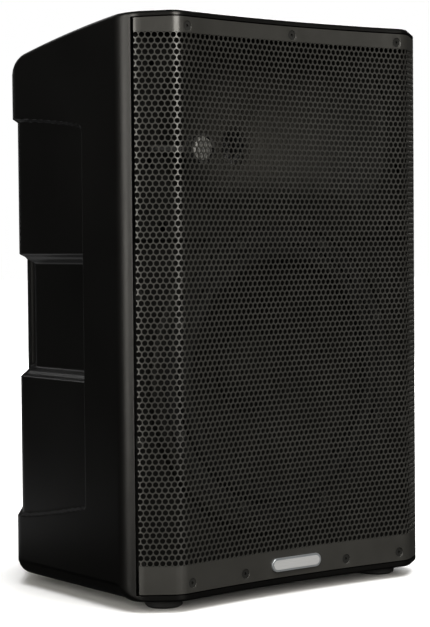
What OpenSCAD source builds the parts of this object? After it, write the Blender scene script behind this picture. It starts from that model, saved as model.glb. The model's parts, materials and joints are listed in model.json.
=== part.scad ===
// Compact two-way powered loudspeaker: moulded enclosure with side hand pockets,
// bent perforated grille, wide horn, round woofer and a recessed amplifier panel.
// Right-handed frame in millimetres: the front faces -Y, +Z is up, and the origin
// is under the middle of the object, on the plane that its feet stand on.

/* [Cabinet] */
// Overall height, feet included
body_h = 425; // [405:5:445]
// Overall width
body_w = 284; // [278:1:300]
// Overall depth
body_d = 269; // [262:1:285]
// Wall thickness of the moulding
wall = 4; // [3.5:0.1:4.5]
// Height of the rubber feet
foot_h = 8; // [6:1:9]
// How far the middle of the front is set back behind its two bends
bow_sag = 5.6; // [4:0.2:7]
// Angle of the front's two wings
wing_angle = 35; // [30:1:38]
// Angle of the two rear facets, measured from the sides' own direction
facet_angle = 37; // [36:0.5:37.5]
// How far the roof has dropped at the back edge
roof_drop = 44; // [36:1:48]

/* [Hand pockets] */
// Depth of the pocket below the outer wall
pocket_depth = 16; // [14:0.5:17]
// Depth of the shallow recess around the pocket
recess_depth = 3.8; // [3:0.2:4.5]
// Distance from the front to the pocket's front edge
pocket_front = 76.6; // [74:0.2:80]

/* [Drivers] */
// Height of the woofer's axis above the floor
woofer_z = 163; // [162:0.5:164]
// Height of the horn throat's axis above the floor
throat_z = 334; // [332:0.5:336]
// Radius of the woofer's mounting flange
flange_r = 110; // [109:0.5:111]
// Radius of the voice coil's former, outside
former_r = 26; // [25.6:0.1:26.2]

/* [Fittings] */
// Radius of the socket that takes a 35 mm pole
pole_r = 17.9; // [17.8:0.05:18.1]
// Depth of the pole socket
pole_depth = 76; // [70:1:80]
// Radius of the control knobs
knob_r = 6.5; // [6:0.5:7]
// Radius of the rubber feet
foot_r = 13.5; // [11:0.5:14]

/* [Hidden] */
$fn = 64;
half_w = body_w / 2;
half_d = body_d / 2;
far = 400;
slack = 0.4;

// Plan outline. Each arc keeps its centre when the outline is drawn further in.
bend_x = 104.7 + (half_w - 142);
bow_r = (bend_x * bend_x + bow_sag * bow_sag) / (2 * bow_sag);
bow_angle = asin(bend_x / bow_r);
bend_r = 17;
bend_c = [bend_x + bend_r * sin(bow_angle), bend_r * cos(bow_angle)];
nose_r = 24;
nose_cx = half_w - nose_r;
nose_c = [nose_cx,
    bend_c[1] + ((nose_cx - bend_c[0]) * sin(wing_angle) - bend_r + nose_r) / cos(wing_angle)];
side_taper = 2;
rear_r = 18;
rear_cd = 167.6;
rear_c = [nose_c[0] + (nose_r - rear_r - (rear_cd - nose_c[1]) * sin(side_taper)) / cos(side_taper),
    rear_cd];
edge_r = 8;
edge_c = [rear_c[0] + (rear_r - edge_r - (body_d - edge_r - rear_cd) * sin(facet_angle))
    / cos(facet_angle), body_d - edge_r];

// Where the grille sheet ends and the wall's front edge begins, as angles on the nose arc
sheet_end = -41.5;
rim_start = -36;
rim_gap = 0.9;
sheet_t = 1.2;

// Roof and floor
roof_slope = 0.07;
roof_curve = (roof_drop - roof_slope * body_d) / (body_d * body_d);
roof_edge_r = 14;
floor_t = 4.4;
base_edge_r = 12;

// Shared depths, measured back from the frontmost point
baffle_d = 24;
baffle_t = 8;
ledge_t = 5;
panel_d = 252;
panel_t = 2;
well_x = 60;
well_z0 = 40;
well_z1 = 290;
ledge_x = 52;
port_z = 330;
port_r = 24;

// Moulding's hand pocket
pocket_z0 = 160;
pocket_z1 = 254;
pocket_back = 258;
// The recess runs out through the back edge
recess_back = 300;
recess_z0 = 53;
recess_z1 = 357;
// How much lower the recess stands at its front than behind slope_end
recess_slope = 15;
slope_end = 165;
skin = 3.6;

// Fixings
pole_d = 118;
foot_at = [[105, 30], [-105, 30], [64, 238], [-64, 238]];
grille_top_at = [-101.5, 0, 101.5];
grille_low_at = [-101.5, -49.5, 49.5, 101.5];
grille_top_z = body_h - 11.4;
grille_low_z = 20;
baffle_screw_x = 129.5;
baffle_screw_z = [32, 120, 225];
cup_screw_r = 28.5;
basket_screw_r = 104.5;
basket_screw_at = [for (i = [0:7]) let (a = 22.5 + 45 * i)
    [basket_screw_r * cos(a), woofer_z + basket_screw_r * sin(a)]];
horn_screw_at = [[118, 388], [-118, 388], [121, 318], [-121, 318], [110, 273], [-110, 273]];
insert_top_d = 150;
insert_low_d = 210;

// Radius of the ring of bolts that holds the compression driver
bolt_ring = 33;

// Panel fittings, as [x, z]
combo_a = [28, 236];
combo_b = [-28, 236];
gain_a = [28, 271];
gain_b = [-28, 271];
contour = [0, 200];
output_at = [28, 199];
aux_at = [-28, 199];
button_at = [0, 271];
inlet_at = [24, 68];
switch_at = [-24, 68];
rocker_tip = 8;

// ---------- helpers ----------

// Depth behind the front, as the frame's y
function yy(d) = d - half_d;

function arc(c, r, a0, a1, n) =
    [for (i = [0:n]) let (a = a0 + (a1 - a0) * i / n) [c[0] + r * cos(a), c[1] + r * sin(a)]];

// The bowed front, its bend and its wing, drawn t further in, up to an angle on the nose arc
function front_points(t, last) = concat(
    [for (i = [0:6]) let (a = bow_angle * i / 6, r = bow_r + t)
        [r * sin(a), bow_sag - bow_r + r * cos(a)]],
    arc(bend_c, bend_r - t, -90 - bow_angle + 5, -90 + wing_angle, 6),
    arc(nose_c, nose_r - t, -90 + wing_angle, last, 5));

// A rounded corner about c, or a sharp one where the outline is drawn in past its centre
function corner(c, r, a0, a1, n) = r > 0.5 ? arc(c, r, a0, a1, n)
    : [c + r / cos((a1 - a0) / 2) * [cos((a0 + a1) / 2), sin((a0 + a1) / 2)]];

function rear_points(t) = concat(
    corner(rear_c, rear_r - t, side_taper, facet_angle, 6),
    corner(edge_c, edge_r - t, facet_angle, 90, 6));

function half_plan(t) = concat(front_points(t, side_taper), rear_points(t));
function flip(p) = [for (i = [len(p) - 1:-1:0]) [-p[i][0], p[i][1]]];
function plan_points(t) = concat(half_plan(t), flip(half_plan(t)));

// Height of the roof at a depth behind the front
function roof(d) = body_h - roof_slope * d - roof_curve * d * d;

// Plan outline drawn t further in, over a height range
module plan_slab(t, z0, z1) {
    translate([0, -half_d, z0])
        linear_extrude(z1 - z0) polygon(plan_points(t));
}

// A shape drawn in depth and height, spanning the width between x0 and x1
module across(x0, x1) {
    translate([x0, -half_d, 0])
        rotate([90, 0, 90])
        linear_extrude(x1 - x0) children();
}

// A shape drawn in x and z, with its face at depth d and its body t further back
module upright(d, t) {
    translate([0, yy(d + t), 0])
        rotate([90, 0, 0])
        linear_extrude(t) children();
}

// A shape of revolution about the Y axis at height z, drawn as [radius, depth]
module turned(x, z) {
    translate([x, -half_d, z])
        rotate([-90, 0, 0])
        rotate_extrude($fn = 96) children();
}

// A rod along Y from depth d0 to depth d1
module rod(x, z, d0, d1, r) {
    translate([x, yy(d0), z])
        rotate([-90, 0, 0])
        cylinder(h = d1 - d0, r = r);
}

module block(x0, x1, d0, d1, z0, z1) {
    translate([x0, yy(d0), z0]) cube([x1 - x0, d1 - d0, z1 - z0]);
}

module both_sides() {
    children();
    mirror([1, 0, 0]) children();
}

// Side profile, as [depth, height], drawn t further in at the roof and f at the floor
module side_shape(t, f, back) {
    r0 = max(base_edge_r - f, 1);
    r1 = max(roof_edge_r - t, 1);
    top = roof(back) - t;
    polygon(concat(
        [[-20, foot_h + f]],
        arc([back - r0, foot_h + f + r0], r0, -90, 0, 5),
        arc([back - r1, top - r1 + 2], r1, 0, 75, 5),
        [for (i = [8:-1:0]) let (d = (back - r1 - 2) * i / 8) [d, roof(d) - t]],
        [[-20, roof(0) - t]]));
}

// Front profile that rounds the lower side edges
module front_shape(t) {
    r = base_edge_r - t;
    polygon(concat(
        arc([half_w - t - r, foot_h + t + r], r, -90, 0, 6),
        [[half_w - t, body_h + 5], [-half_w + t, body_h + 5]],
        arc([-half_w + t + r, foot_h + t + r], r, 180, 270, 6)));
}

// Screw with a flat countersunk head facing forward at depth d
module front_screw(x, z, d, head_r, r, len) {
    turned(x, z)
        polygon([[0, d], [head_r, d], [head_r, d + 0.4], [r, d + 0.4 + head_r - r], [r, d + len],
            [0, d + len]]);
}

// Pan-head screw whose head stands behind depth d, pointing forward
module rear_screw(x, z, d, head_r, r, len) {
    rod(x, z, d, d + 1.6, head_r);
    rod(x, z, d - len, d + 0.1, r);
}

// ---------- cabinet ----------

// The space that a recess takes, for one side: outside the outline drawn t further in
module side_cut(t, d0, d1, z0, z1, slope) {
    difference() {
        across(0, far)
            polygon([[d0, z0 + 8 + slope], [d0 + 3, z0 + 3 + slope], [d0 + 9, z0 + slope],
                [slope_end, z0], [d1, z0], [d1, z1], [slope_end, z1], [d0 + 9, z1 - slope * 0.6],
                [d0 + 3, z1 - 3 - slope * 0.6], [d0, z1 - 8 - slope * 0.6]]);
        plan_slab(t, 0, body_h);
        // the flat of the back, beside the panel well
        block(-well_x - 4, well_x + 4, panel_d, body_d + 1, 0, body_h);
    }
}

module cavity() {
    difference() {
        intersection() {
            plan_slab(wall, 0, body_h);
            across(-half_w, half_w) side_shape(wall, floor_t, body_d - wall);
            upright(0, body_d) front_shape(wall);
        }
        both_sides() {
            side_cut(recess_depth + skin, pocket_front - 5, recess_back + 4,
                recess_z0 - 5, recess_z1 + 5, recess_slope);
            side_cut(pocket_depth + skin, pocket_front - 5, pocket_back + 4,
                pocket_z0 - 5, pocket_z1 + 5, 0);
        }
    }
}

// The front opening that the grille fills
module front_opening() {
    out = [nose_c[0] + 44 * cos(rim_start), nose_c[1] + 44 * sin(rim_start)];
    inn = [nose_c[0] + (nose_r - wall) * cos(rim_start), nose_c[1] + (nose_r - wall) * sin(rim_start)];
    half = [[0, -20], [out[0], -20], out, inn, [inn[0], baffle_d + 6], [0, baffle_d + 6]];
    intersection() {
        translate([0, -half_d, 0])
            linear_extrude(body_h) polygon(concat(half, flip(half)));
        across(-half_w, half_w) side_shape(wall, floor_t, body_d - wall);
    }
}

module enclosure() {
    color([0.10, 0.10, 0.09])
    difference() {
        union() {
            difference() {
                intersection() {
                    plan_slab(0, foot_h, body_h);
                    across(-half_w, half_w) side_shape(0, 0, body_d);
                    upright(0, body_d) front_shape(0);
                }
                cavity();
                front_opening();
                both_sides() {
                    side_cut(recess_depth, pocket_front, recess_back,
                        recess_z0, recess_z1, recess_slope);
                    side_cut(pocket_depth * 0.55, pocket_front, pocket_back,
                        pocket_z0, pocket_z1, 0);
                    side_cut(pocket_depth, pocket_front, pocket_back - 18,
                        pocket_z0 + 6, pocket_z1 - 6, 0);
                }
            }
            ledge();
            panel_well();
            bosses();
        }
        // panel well, panel opening and port
        block(-well_x, well_x, panel_d - panel_t, body_d + 5, well_z0, well_z1);
        block(-ledge_x, ledge_x, panel_d - 20, body_d, well_z0 + 8, well_z1 - 8);
        rod(0, port_z, 240, body_d + 5, port_r + 2.6);
        // pole cup, inserts and fixings
        translate([0, yy(pole_d), 0]) cylinder(h = 60, r = 23.2);
        translate([0, yy(pole_d), 0]) cylinder(h = foot_h + 2.5, r = 36);
        translate([0, yy(insert_top_d), roof(insert_top_d) - 26]) cylinder(h = 60, r = 7);
        translate([0, yy(insert_top_d), roof(insert_top_d) - 4]) cylinder(h = 60, r = 11);
        translate([0, yy(insert_low_d), 0]) cylinder(h = foot_h + 22, r = 7);
        translate([0, yy(insert_low_d), 0]) cylinder(h = foot_h + 2, r = 11);
        for (p = foot_at)
            translate([p[0], yy(p[1]), 0]) cylinder(h = foot_h + 14, r = 2.1);
        for (a = [45:90:359])
            translate([cup_screw_r * cos(a), yy(pole_d) + cup_screw_r * sin(a), 0])
                cylinder(h = foot_h + 12.4, r = 1.6);
        for (s = [-1, 1], z = baffle_screw_z)
            rod(s * baffle_screw_x, z, 30, 42, 1.7);
        for (s = [-1, 1], z = [well_z0 + 4, 125, 205, well_z1 - 4])
            rod(s * 56, z, 243, 252, 1.5);
    }
}

// Frame inside the walls that the baffle is screwed to
module ledge() {
    intersection() {
        plan_slab(wall - 1, foot_h + 1, body_h);
        across(-half_w, half_w) side_shape(wall - 1, floor_t - 1, body_d);
        difference() {
            block(-far, far, baffle_d + baffle_t, baffle_d + baffle_t + ledge_t, 0, body_h);
            block(-124, 124, 0, 100, 24, 405);
        }
    }
    intersection() {
        plan_slab(wall - 1, foot_h + 1, body_h);
        both_sides()
            for (z = baffle_screw_z)
                rod(baffle_screw_x, z, 34, 44, 5.5);
    }
}

module panel_well() {
    difference() {
        block(-well_x - 4, well_x + 4, panel_d - panel_t - 4, body_d - 3, well_z0 - 4, well_z1 + 4);
        block(-well_x, well_x, panel_d - panel_t, body_d + 5, well_z0, well_z1);
    }
}

module bosses() {
    for (p = foot_at)
        translate([p[0], yy(p[1]), foot_h + 1]) cylinder(h = 16, r = 5);
    translate([0, yy(insert_low_d), foot_h + 1]) cylinder(h = 24, r = 11);
    translate([0, yy(insert_top_d), roof(insert_top_d) - 28]) cylinder(h = 24, r = 12);
    translate([0, yy(pole_d), foot_h + 1]) cylinder(h = 11, r = 37);
}

module front_baffle() {
    color([0.13, 0.13, 0.12])
    difference() {
        union() {
            intersection() {
                block(-134.8, 134.8, baffle_d, baffle_d + baffle_t, foot_h + floor_t + slack, body_h);
                across(-half_w, half_w) side_shape(wall + slack, floor_t, body_d);
            }
            for (x = grille_top_at) rod(x, grille_top_z, front_at(x) + sheet_t + 0.8, baffle_d + 1, 4);
            for (x = grille_low_at) rod(x, grille_low_z, front_at(x) + sheet_t + 0.8, baffle_d + 1, 4);
        }
        rod(0, woofer_z, 20, 40, 101);
        for (p = foot_at)
            translate([p[0], yy(p[1]), 0]) cylinder(h = foot_h + 18, r = 5.8);
        upright(20, 20) horn_mouth(0.8);
        for (x = grille_top_at) rod(x, grille_top_z, 0, 30, 1.5);
        for (x = grille_low_at) rod(x, grille_low_z, 0, 30, 1.5);
        for (s = [-1, 1], z = baffle_screw_z) baffle_hole(s * baffle_screw_x, z);
        for (p = horn_screw_at) rod(p[0], p[1], 20, 40, 1.6);
        for (p = basket_screw_at) rod(p[0], p[1], 20, 40, 1.6);
    }
}

module baffle_hole(x, z) {
    turned(x, z) polygon([[0, 20], [4, 20], [4, baffle_d + 0.4], [2, baffle_d + 2.4], [2, 40], [0, 40]]);
}

module baffle_screws() {
    color([0.25, 0.25, 0.26])
    for (s = [-1, 1], z = baffle_screw_z)
        front_screw(s * baffle_screw_x, z, baffle_d, 3.9, 1.7, 17);
}

// ---------- grille ----------

module grille() {
    outer = front_points(0, sheet_end);
    inner = front_points(sheet_t, sheet_end);
    back = [for (i = [len(inner) - 1:-1:0]) inner[i]];
    mirrored = [for (i = [len(outer) - 1:-1:1]) [-outer[i][0], outer[i][1]]];
    mirrored_back = [for (i = [1:len(inner) - 1]) [-inner[i][0], inner[i][1]]];
    color([0.20, 0.20, 0.19])
    difference() {
        intersection() {
            translate([0, -half_d, foot_h + floor_t + rim_gap])
                linear_extrude(body_h)
                polygon(concat(mirrored, outer, back, mirrored_back));
            across(-half_w, half_w) side_shape(wall + rim_gap, 0, body_d);
        }
        for (x = grille_top_at) grille_hole(x, grille_top_z);
        for (x = grille_low_at) grille_hole(x, grille_low_z);
    }
}

function front_at(x) = bow_sag - bow_r + sqrt(bow_r * bow_r - x * x);

module grille_hole(x, z) {
    d = front_at(x);
    turned(x, z)
        polygon([[0, d - 9], [3.7, d - 9], [3.7, d + 0.4], [2.5, d + 1.6], [2.5, d + 9], [0, d + 9]]);
}

module grille_screws() {
    color([0.16, 0.16, 0.16]) {
        for (x = grille_top_at)
            grille_screw(x, grille_top_z);
        for (x = grille_low_at)
            grille_screw(x, grille_low_z);
    }
}

// Hex-socket screw, its head sunk a little below the sheet's face
module grille_screw(x, z) {
    d = front_at(x) + 0.5;
    difference() {
        turned(x, z)
            polygon([[0, d], [3.4, d], [3.4, d + 0.2], [1.4, d + 1.7], [1.4, d + 20], [0, d + 20]]);
        translate([x, yy(d - 1), z]) rotate([-90, 0, 0]) cylinder(h = 2.2, r = 1.3, $fn = 6);
    }
}

module badge() {
    d = front_at(0) - 1.4;
    color([0.72, 0.76, 0.80])
    upright(d, 1) {
        translate([-19, 22.8]) circle(r = 5);
        translate([19, 22.8]) circle(r = 5);
        translate([-19, 17.8]) square([38, 10]);
    }
}

// ---------- front indicator ----------

module indicator_housing() {
    color([0.08, 0.08, 0.08]) {
        turned(-85, 328.6)
            polygon([[9, 4.6], [10.5, 4.6], [10.5, 15], [0, 15], [0, 13.6], [9, 13.6]]);
        block(-121, -95, 13, 15, 326.6, 330.6);
        block(-121, -116, 14, 20.5, 326.6, 330.6);
    }
}

module indicator_lens() {
    color([0.78, 0.78, 0.76])
    turned(-85, 328.6)
        polygon([[0, 4.8], [6, 5.0], [8.4, 5.6], [8.8, 6.4], [8.8, 8.6], [0, 8.6]]);
}

module indicator_board() {
    color([0.05, 0.30, 0.15]) rod(-85, 328.6, 12, 13.5, 8.6);
    color([0.9, 0.9, 0.8]) block(-87, -83, 10.6, 12.1, 326.6, 330.6);
}

// ---------- horn and compression driver ----------

// Mouth outline, drawn g larger
module horn_mouth(g) {
    half = 112 + g;
    r = 56 + g;
    z0 = 276 - g;
    z1 = 404 + g;
    polygon(concat(
        arc([half - r, z0 + r], r, -90, 0, 8),
        arc([half - r, z1 - r], r, 0, 90, 8),
        arc([-half + r, z1 - r], r, 90, 180, 8),
        arc([-half + r, z0 + r], r, 180, 270, 8)));
}

// One slice of the flare
module flare_slice(d, hw, hh, r, g) {
    upright(d, 0.4)
        translate([0, throat_z + (340 - throat_z) * hw / 112])
        polygon(concat(
            arc([hw - r, -hh + r], r + g, -90, 0, 7),
            arc([hw - r, hh - r], r + g, 0, 90, 7),
            arc([-hw + r, hh - r], r + g, 90, 180, 7),
            arc([-hw + r, -hh + r], r + g, 180, 270, 7)));
}

// Flare from the mouth to the throat, drawn g larger, starting at depth d0
module flare(g, d0) {
    hull() {
        flare_slice(d0, 112, 64, 56, g);
        flare_slice(48, 55, 34, 30, g);
    }
    hull() {
        flare_slice(48, 55, 34, 30, g);
        flare_slice(78, 12.8, 12.8, 12.7, g);
    }
}

module horn_waveguide() {
    color([0.14, 0.14, 0.13])
    difference() {
        union() {
            upright(20.5, 3.5) translate([-134, 263]) square([268, 153]);
            flare(3, 22);
            rod(0, throat_z, 73, 79, 38);
        }
        flare(0, 21.9);
        rod(0, throat_z, 70, 90, 12.7);
        upright(15, 7.1) horn_mouth(0);
        rod(0, woofer_z, 10, 34, 122);
        for (x = grille_top_at) rod(x, grille_top_z, 15, 30, 4.4);
        for (p = horn_screw_at) baffle_hole_at(p[0], p[1], 20.5);
        for (a = [45:90:359])
            rod(bolt_ring * cos(a), throat_z + bolt_ring * sin(a), 72, 90, 2.6);
    }
}

module baffle_hole_at(x, z, d) {
    turned(x, z)
        polygon([[0, d - 5], [3.6, d - 5], [3.6, d + 0.4], [2, d + 2], [2, d + 9], [0, d + 9]]);
}

module horn_screws() {
    color([0.25, 0.25, 0.26])
    for (p = horn_screw_at)
        front_screw(p[0], p[1], 20.5, 3.5, 1.6, 14);
}

module driver_body() {
    color([0.16, 0.16, 0.17])
    difference() {
        turned(0, throat_z)
            polygon([[12.7, 79], [42, 79], [43.5, 81], [43.5, 112], [42, 114], [36, 114], [36, 110],
                [24, 110], [24, 96], [16, 96]]);
        for (a = [45:90:359])
            rod(bolt_ring * cos(a), throat_z + bolt_ring * sin(a), 70, 96, 2.5);
    }
}

module driver_phase_plug() {
    color([0.55, 0.55, 0.57])
    turned(0, throat_z)
        polygon([[0, 80], [3, 86], [10, 96], [21, 96], [21, 100], [17, 104], [9, 107], [0, 108]]);
}

module driver_diaphragm() {
    color([0.80, 0.80, 0.82])
    turned(0, throat_z)
        polygon([[0, 110.6], [9, 109.5], [17.5, 106.3], [22, 102], [22.8, 102], [22.8, 103.4],
            [18, 107.3], [9.3, 110.5], [0, 111.6]]);
}

module driver_back_cover() {
    color([0.12, 0.12, 0.12])
    turned(0, throat_z)
        polygon([[0, 130], [30, 130], [38, 126], [38, 114], [35.4, 114], [35.4, 124.6], [29, 127.6],
            [0, 127.6]]);
}

module driver_bolts() {
    color([0.6, 0.6, 0.62])
    for (a = [45:90:359]) {
        rod(bolt_ring * cos(a), throat_z + bolt_ring * sin(a), 70, 95, 2.45);
        rod(bolt_ring * cos(a), throat_z + bolt_ring * sin(a), 69, 73, 4.6);
    }
}

// ---------- woofer ----------

module woofer_basket() {
    color([0.10, 0.10, 0.10])
    difference() {
        turned(0, woofer_z)
            polygon([[98.5, 20], [flange_r, 20], [flange_r, baffle_d], [100.4, baffle_d], [100.4, 33],
                [67, 82], [67, 92], [50, 92], [50, 89], [63.8, 89], [63.8, 84.4], [60, 84.4],
                [60, 81.4], [63, 81.4], [97.2, 31], [97.2, 24.5], [98.5, 24.5]]);
        for (i = [0:5])
            translate([0, yy(57), woofer_z])
                rotate([0, 60 * i + 30, 0])
                translate([-24, -16, 55]) cube([48, 36, 60]);
        for (p = basket_screw_at) rod(p[0], p[1], 10, 40, 2.2);
    }
}

module woofer_trim_ring() {
    color([0.15, 0.15, 0.14])
    turned(0, woofer_z)
        polygon([[110.4, 20.4], [112, 18.4], [118.4, 18.4], [121, 20.8], [121, baffle_d],
            [110.4, baffle_d]]);
}

module woofer_screws() {
    color([0.22, 0.22, 0.23])
    for (p = basket_screw_at) {
        rod(p[0], p[1], 18.2, 20, 3.6);
        rod(p[0], p[1], 19, 31, 1.6);
    }
}

module woofer_surround() {
    mid = 91;
    color([0.07, 0.07, 0.07])
    turned(0, woofer_z)
        polygon(concat(
            [[84.6, 24]], [[83.6, 24]], [[83.6, 23]],
            [for (i = [0:12]) let (a = 180 + 15 * i) [mid + 6.8 * cos(a), 23 + 6.8 * sin(a)]],
            [[98.2, 23]], [[98.2, 24]],
            [for (i = [12:-1:0]) let (a = 180 + 15 * i) [mid + 5.8 * cos(a), 24 + 5.8 * sin(a)]]));
}

// Radius of the cone at a depth behind its rim
function cone_d(r) = 24.4 + 38 * pow((83.4 - r) / 56.8, 0.86);

module woofer_cone() {
    rs = [for (i = [0:10]) 83.4 - 5.68 * i];
    color([0.09, 0.09, 0.09])
    turned(0, woofer_z)
        polygon(concat(
            [for (r = rs) [r, cone_d(r)]],
            [for (i = [10:-1:0]) [rs[i], cone_d(rs[i]) + 1.3]]));
}

module woofer_dust_cap() {
    color([0.08, 0.08, 0.08])
    turned(0, woofer_z)
        polygon(concat(
            [for (i = [0:8]) [31 * i / 8, 49.4 + 8.9 * pow(i / 8, 2)]],
            [for (i = [8:-1:0]) [31 * i / 8, 50.3 + 8.9 * pow(i / 8, 2)]]));
}

module voice_coil() {
    color([0.72, 0.42, 0.16])
    turned(0, woofer_z)
        polygon([[former_r - 0.5, 63], [former_r, 63], [former_r, 93], [former_r + 0.9, 93],
            [former_r + 0.9, 105], [former_r - 0.5, 105]]);
}

module woofer_spider() {
    color([0.78, 0.55, 0.22])
    turned(0, woofer_z)
        polygon(concat(
            [[former_r + 0.1, 82]],
            [for (i = [0:6]) [30 + 4.6 * i, 82 + (i % 2) * 2.6]],
            [[60.2, 80.6]], [[62.8, 80.6]], [[62.8, 81.3]], [[60.4, 81.3]],
            [for (i = [6:-1:0]) [30 + 4.6 * i, 82.8 + (i % 2) * 2.6]],
            [[former_r + 0.1, 82.8]]));
}

module top_plate() {
    color([0.62, 0.62, 0.64])
    turned(0, woofer_z)
        polygon([[27.8, 92], [60, 92], [60, 99], [27.8, 99]]);
}

module woofer_magnet() {
    color([0.20, 0.20, 0.22])
    turned(0, woofer_z)
        polygon([[33, 99], [65, 99], [66, 100], [66, 119], [65, 120], [33, 120]]);
}

module woofer_yoke() {
    color([0.62, 0.62, 0.64])
    turned(0, woofer_z)
        polygon([[8, 92], [24.7, 92], [24.7, 120], [58, 120], [60, 122], [60, 128], [10, 128],
            [8, 124]]);
}

module woofer_terminals() {
    color([0.80, 0.66, 0.30])
    translate([0, 0, woofer_z]) {
        difference() {
            block(-9, 9, 44, 68, 76, 92);
            turned(0, 0) polygon([[0, 33], [100.4, 33], [67, 82], [0, 82]]);
        }
        block(-8, -5, 67, 80, 82, 88);
        block(5, 8, 67, 80, 82, 88);
    }
}

// ---------- rear port and damping ----------

module port_tube() {
    color([0.09, 0.09, 0.09])
    turned(0, port_z)
        polygon([[port_r, 168], [port_r + 2.6, 168], [port_r + 2.6, body_d], [port_r + 2.4, body_d],
            [port_r + 1.2, body_d - 3], [port_r, body_d - 9]]);
}

module damping_pads() {
    color([0.45, 0.45, 0.43])
    both_sides() {
        block(124, 136, 42, 70, 270, 395);
        block(45, 100, 60, 170, foot_h + floor_t, foot_h + floor_t + 12);
    }
}

// ---------- amplifier panel ----------

module panel_cut(p, w, h) {
    block(p[0] - w / 2, p[0] + w / 2, 240, 260, p[1] - h / 2, p[1] + h / 2);
}

module rear_panel() {
    color([0.17, 0.17, 0.18])
    difference() {
        block(-59.5, 59.5, panel_d - panel_t, panel_d, well_z0 + 0.5, well_z1 - 0.5);
        for (p = [combo_a, combo_b, output_at]) rod(p[0], p[1], 240, 260, 12.2);
        for (p = [combo_a, combo_b])
            block(p[0] - 3.4, p[0] + 3.4, 240, 260, p[1] + 8, p[1] + 14.2);
        rod(aux_at[0], aux_at[1], 240, 260, 4.2);
        for (p = [gain_a, gain_b, contour]) rod(p[0], p[1], 240, 260, 3.2);
        panel_cut(button_at, 7.6, 7.6);
        panel_cut(inlet_at, 28, 20.4);
        panel_cut(switch_at, 20, 28);
        for (z = [224, 236, 248]) rod(0, z, 240, 260, 1.7);
        for (s = [-1, 1], z = [well_z0 + 4, 125, 205, well_z1 - 4])
            rod(s * 56, z, 240, 260, 1.7);
        for (s = [-1, 1], z = [92, 176]) rod(s * 44, z, 240, 260, 1.6);
    }
}

module rear_panel_screws() {
    color([0.12, 0.12, 0.12])
    for (s = [-1, 1], z = [well_z0 + 4, 125, 205, well_z1 - 4])
        rear_screw(s * 56, z, panel_d, 3, 1.45, 8);
}

module heat_sink() {
    color([0.11, 0.11, 0.12]) {
        block(-50, 50, panel_d, panel_d + 3, 96, 172);
        for (i = [0:12])
            block(-49 + 8 * i, -47 + 8 * i, panel_d + 2, panel_d + 14, 96, 172);
    }
}

module board_standoffs() {
    color([0.75, 0.72, 0.55])
    for (s = [-1, 1], z = [92, 176]) {
        rod(s * 44, z, 207, panel_d - panel_t, 3);
        rod(s * 44, z, 204.5, 207.5, 1.5);
        rod(s * 44, z, 245, panel_d + 0.6, 1.5);
    }
}

module main_board() {
    color([0.04, 0.28, 0.14])
    difference() {
        block(-50, 50, 205.4, 207, 52, 182);
        for (s = [-1, 1], z = [92, 176]) rod(s * 44, z, 200, 210, 1.6);
    }
}

module transformer() {
    color([0.85, 0.74, 0.30])
    block(-40, 0, 178, 205.4, 98, 138);
    color([0.25, 0.22, 0.20]) {
        block(-44, 4, 184, 200, 108, 128);
    }
}

module capacitors() {
    color([0.12, 0.16, 0.35])
    for (z = [84, 110, 136])
        rod(26, z, 172, 205.4, 11);
}

module input_board() {
    color([0.04, 0.28, 0.14]) block(-46, 46, 221, 222.6, 186, 281);
    color([0.30, 0.32, 0.34])
    difference() {
        union() {
            for (p = [gain_a, gain_b, contour])
                block(p[0] - 7, p[0] + 7, 222.6, 240, p[1] - 7, p[1] + 7);
            block(button_at[0] - 5.5, button_at[0] + 5.5, 222.6, 243, button_at[1] - 5.5,
                button_at[1] + 5.5);
        }
        for (p = [gain_a, gain_b, contour]) rod(p[0], p[1], 223.6, 250, 3.1);
        block(button_at[0] - 3.5, button_at[0] + 3.5, 232, 250, button_at[1] - 3.5,
            button_at[1] + 3.5);
    }
}

// Body of a panel socket: mouth towards the back, with a locating key
module combo_jack(p) {
    difference() {
        union() {
            rod(p[0], p[1], 226, panel_d + 1.9, 12);
            block(p[0] - 13, p[0] + 13, panel_d, panel_d + 1.9, p[1] - 15.5, p[1] + 15.5);
            block(p[0] - 12, p[0] + 12, 222.6, 240, p[1] - 12, p[1] + 12);
        }
        rod(p[0], p[1], 236, 260, 9.6);
        rod(p[0], p[1], 229, 240, 3.3);
        block(p[0] - 3.2, p[0] + 3.2, 244, 260, p[1] + 9, p[1] + 14);
    }
}

module combo_jack_a() {
    color([0.07, 0.07, 0.07]) combo_jack(combo_a);
}

module combo_jack_b() {
    color([0.07, 0.07, 0.07]) combo_jack(combo_b);
}

// Release tab above the socket's mouth, which is pressed in
module latch_tab(p) {
    block(p[0] - 3, p[0] + 3, 247, panel_d + 4.6, p[1] + 10.2, p[1] + 13.4);
}

module latch_tab_a() {
    color([0.70, 0.70, 0.72]) latch_tab(combo_a);
}

module latch_tab_b() {
    color([0.70, 0.70, 0.72]) latch_tab(combo_b);
}

module output_connector() {
    color([0.07, 0.07, 0.07])
    difference() {
        union() {
            rod(output_at[0], output_at[1], 230, panel_d + 1.9, 12);
            block(output_at[0] - 13, output_at[0] + 13, panel_d, panel_d + 1.9,
                output_at[1] - 15.5 + 5, output_at[1] + 15.5);
            block(output_at[0] - 9, output_at[0] + 9, 222.6, 232, output_at[1] - 9, output_at[1] + 9);
        }
        rod(output_at[0], output_at[1], 237, 260, 9.4);
    }
}

module output_pins() {
    color([0.80, 0.78, 0.70])
    for (a = [30, 150, 270])
        rod(output_at[0] + 4.6 * cos(a), output_at[1] + 4.6 * sin(a), 237, 250, 1.2);
}

module aux_jack() {
    color([0.10, 0.10, 0.10])
    difference() {
        union() {
            rod(aux_at[0], aux_at[1], 238, panel_d + 1.6, 4);
            block(aux_at[0] - 6, aux_at[0] + 6, 222.6, 244, aux_at[1] - 6, aux_at[1] + 6);
        }
        rod(aux_at[0], aux_at[1], 228, 260, 1.85);
    }
}

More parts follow.
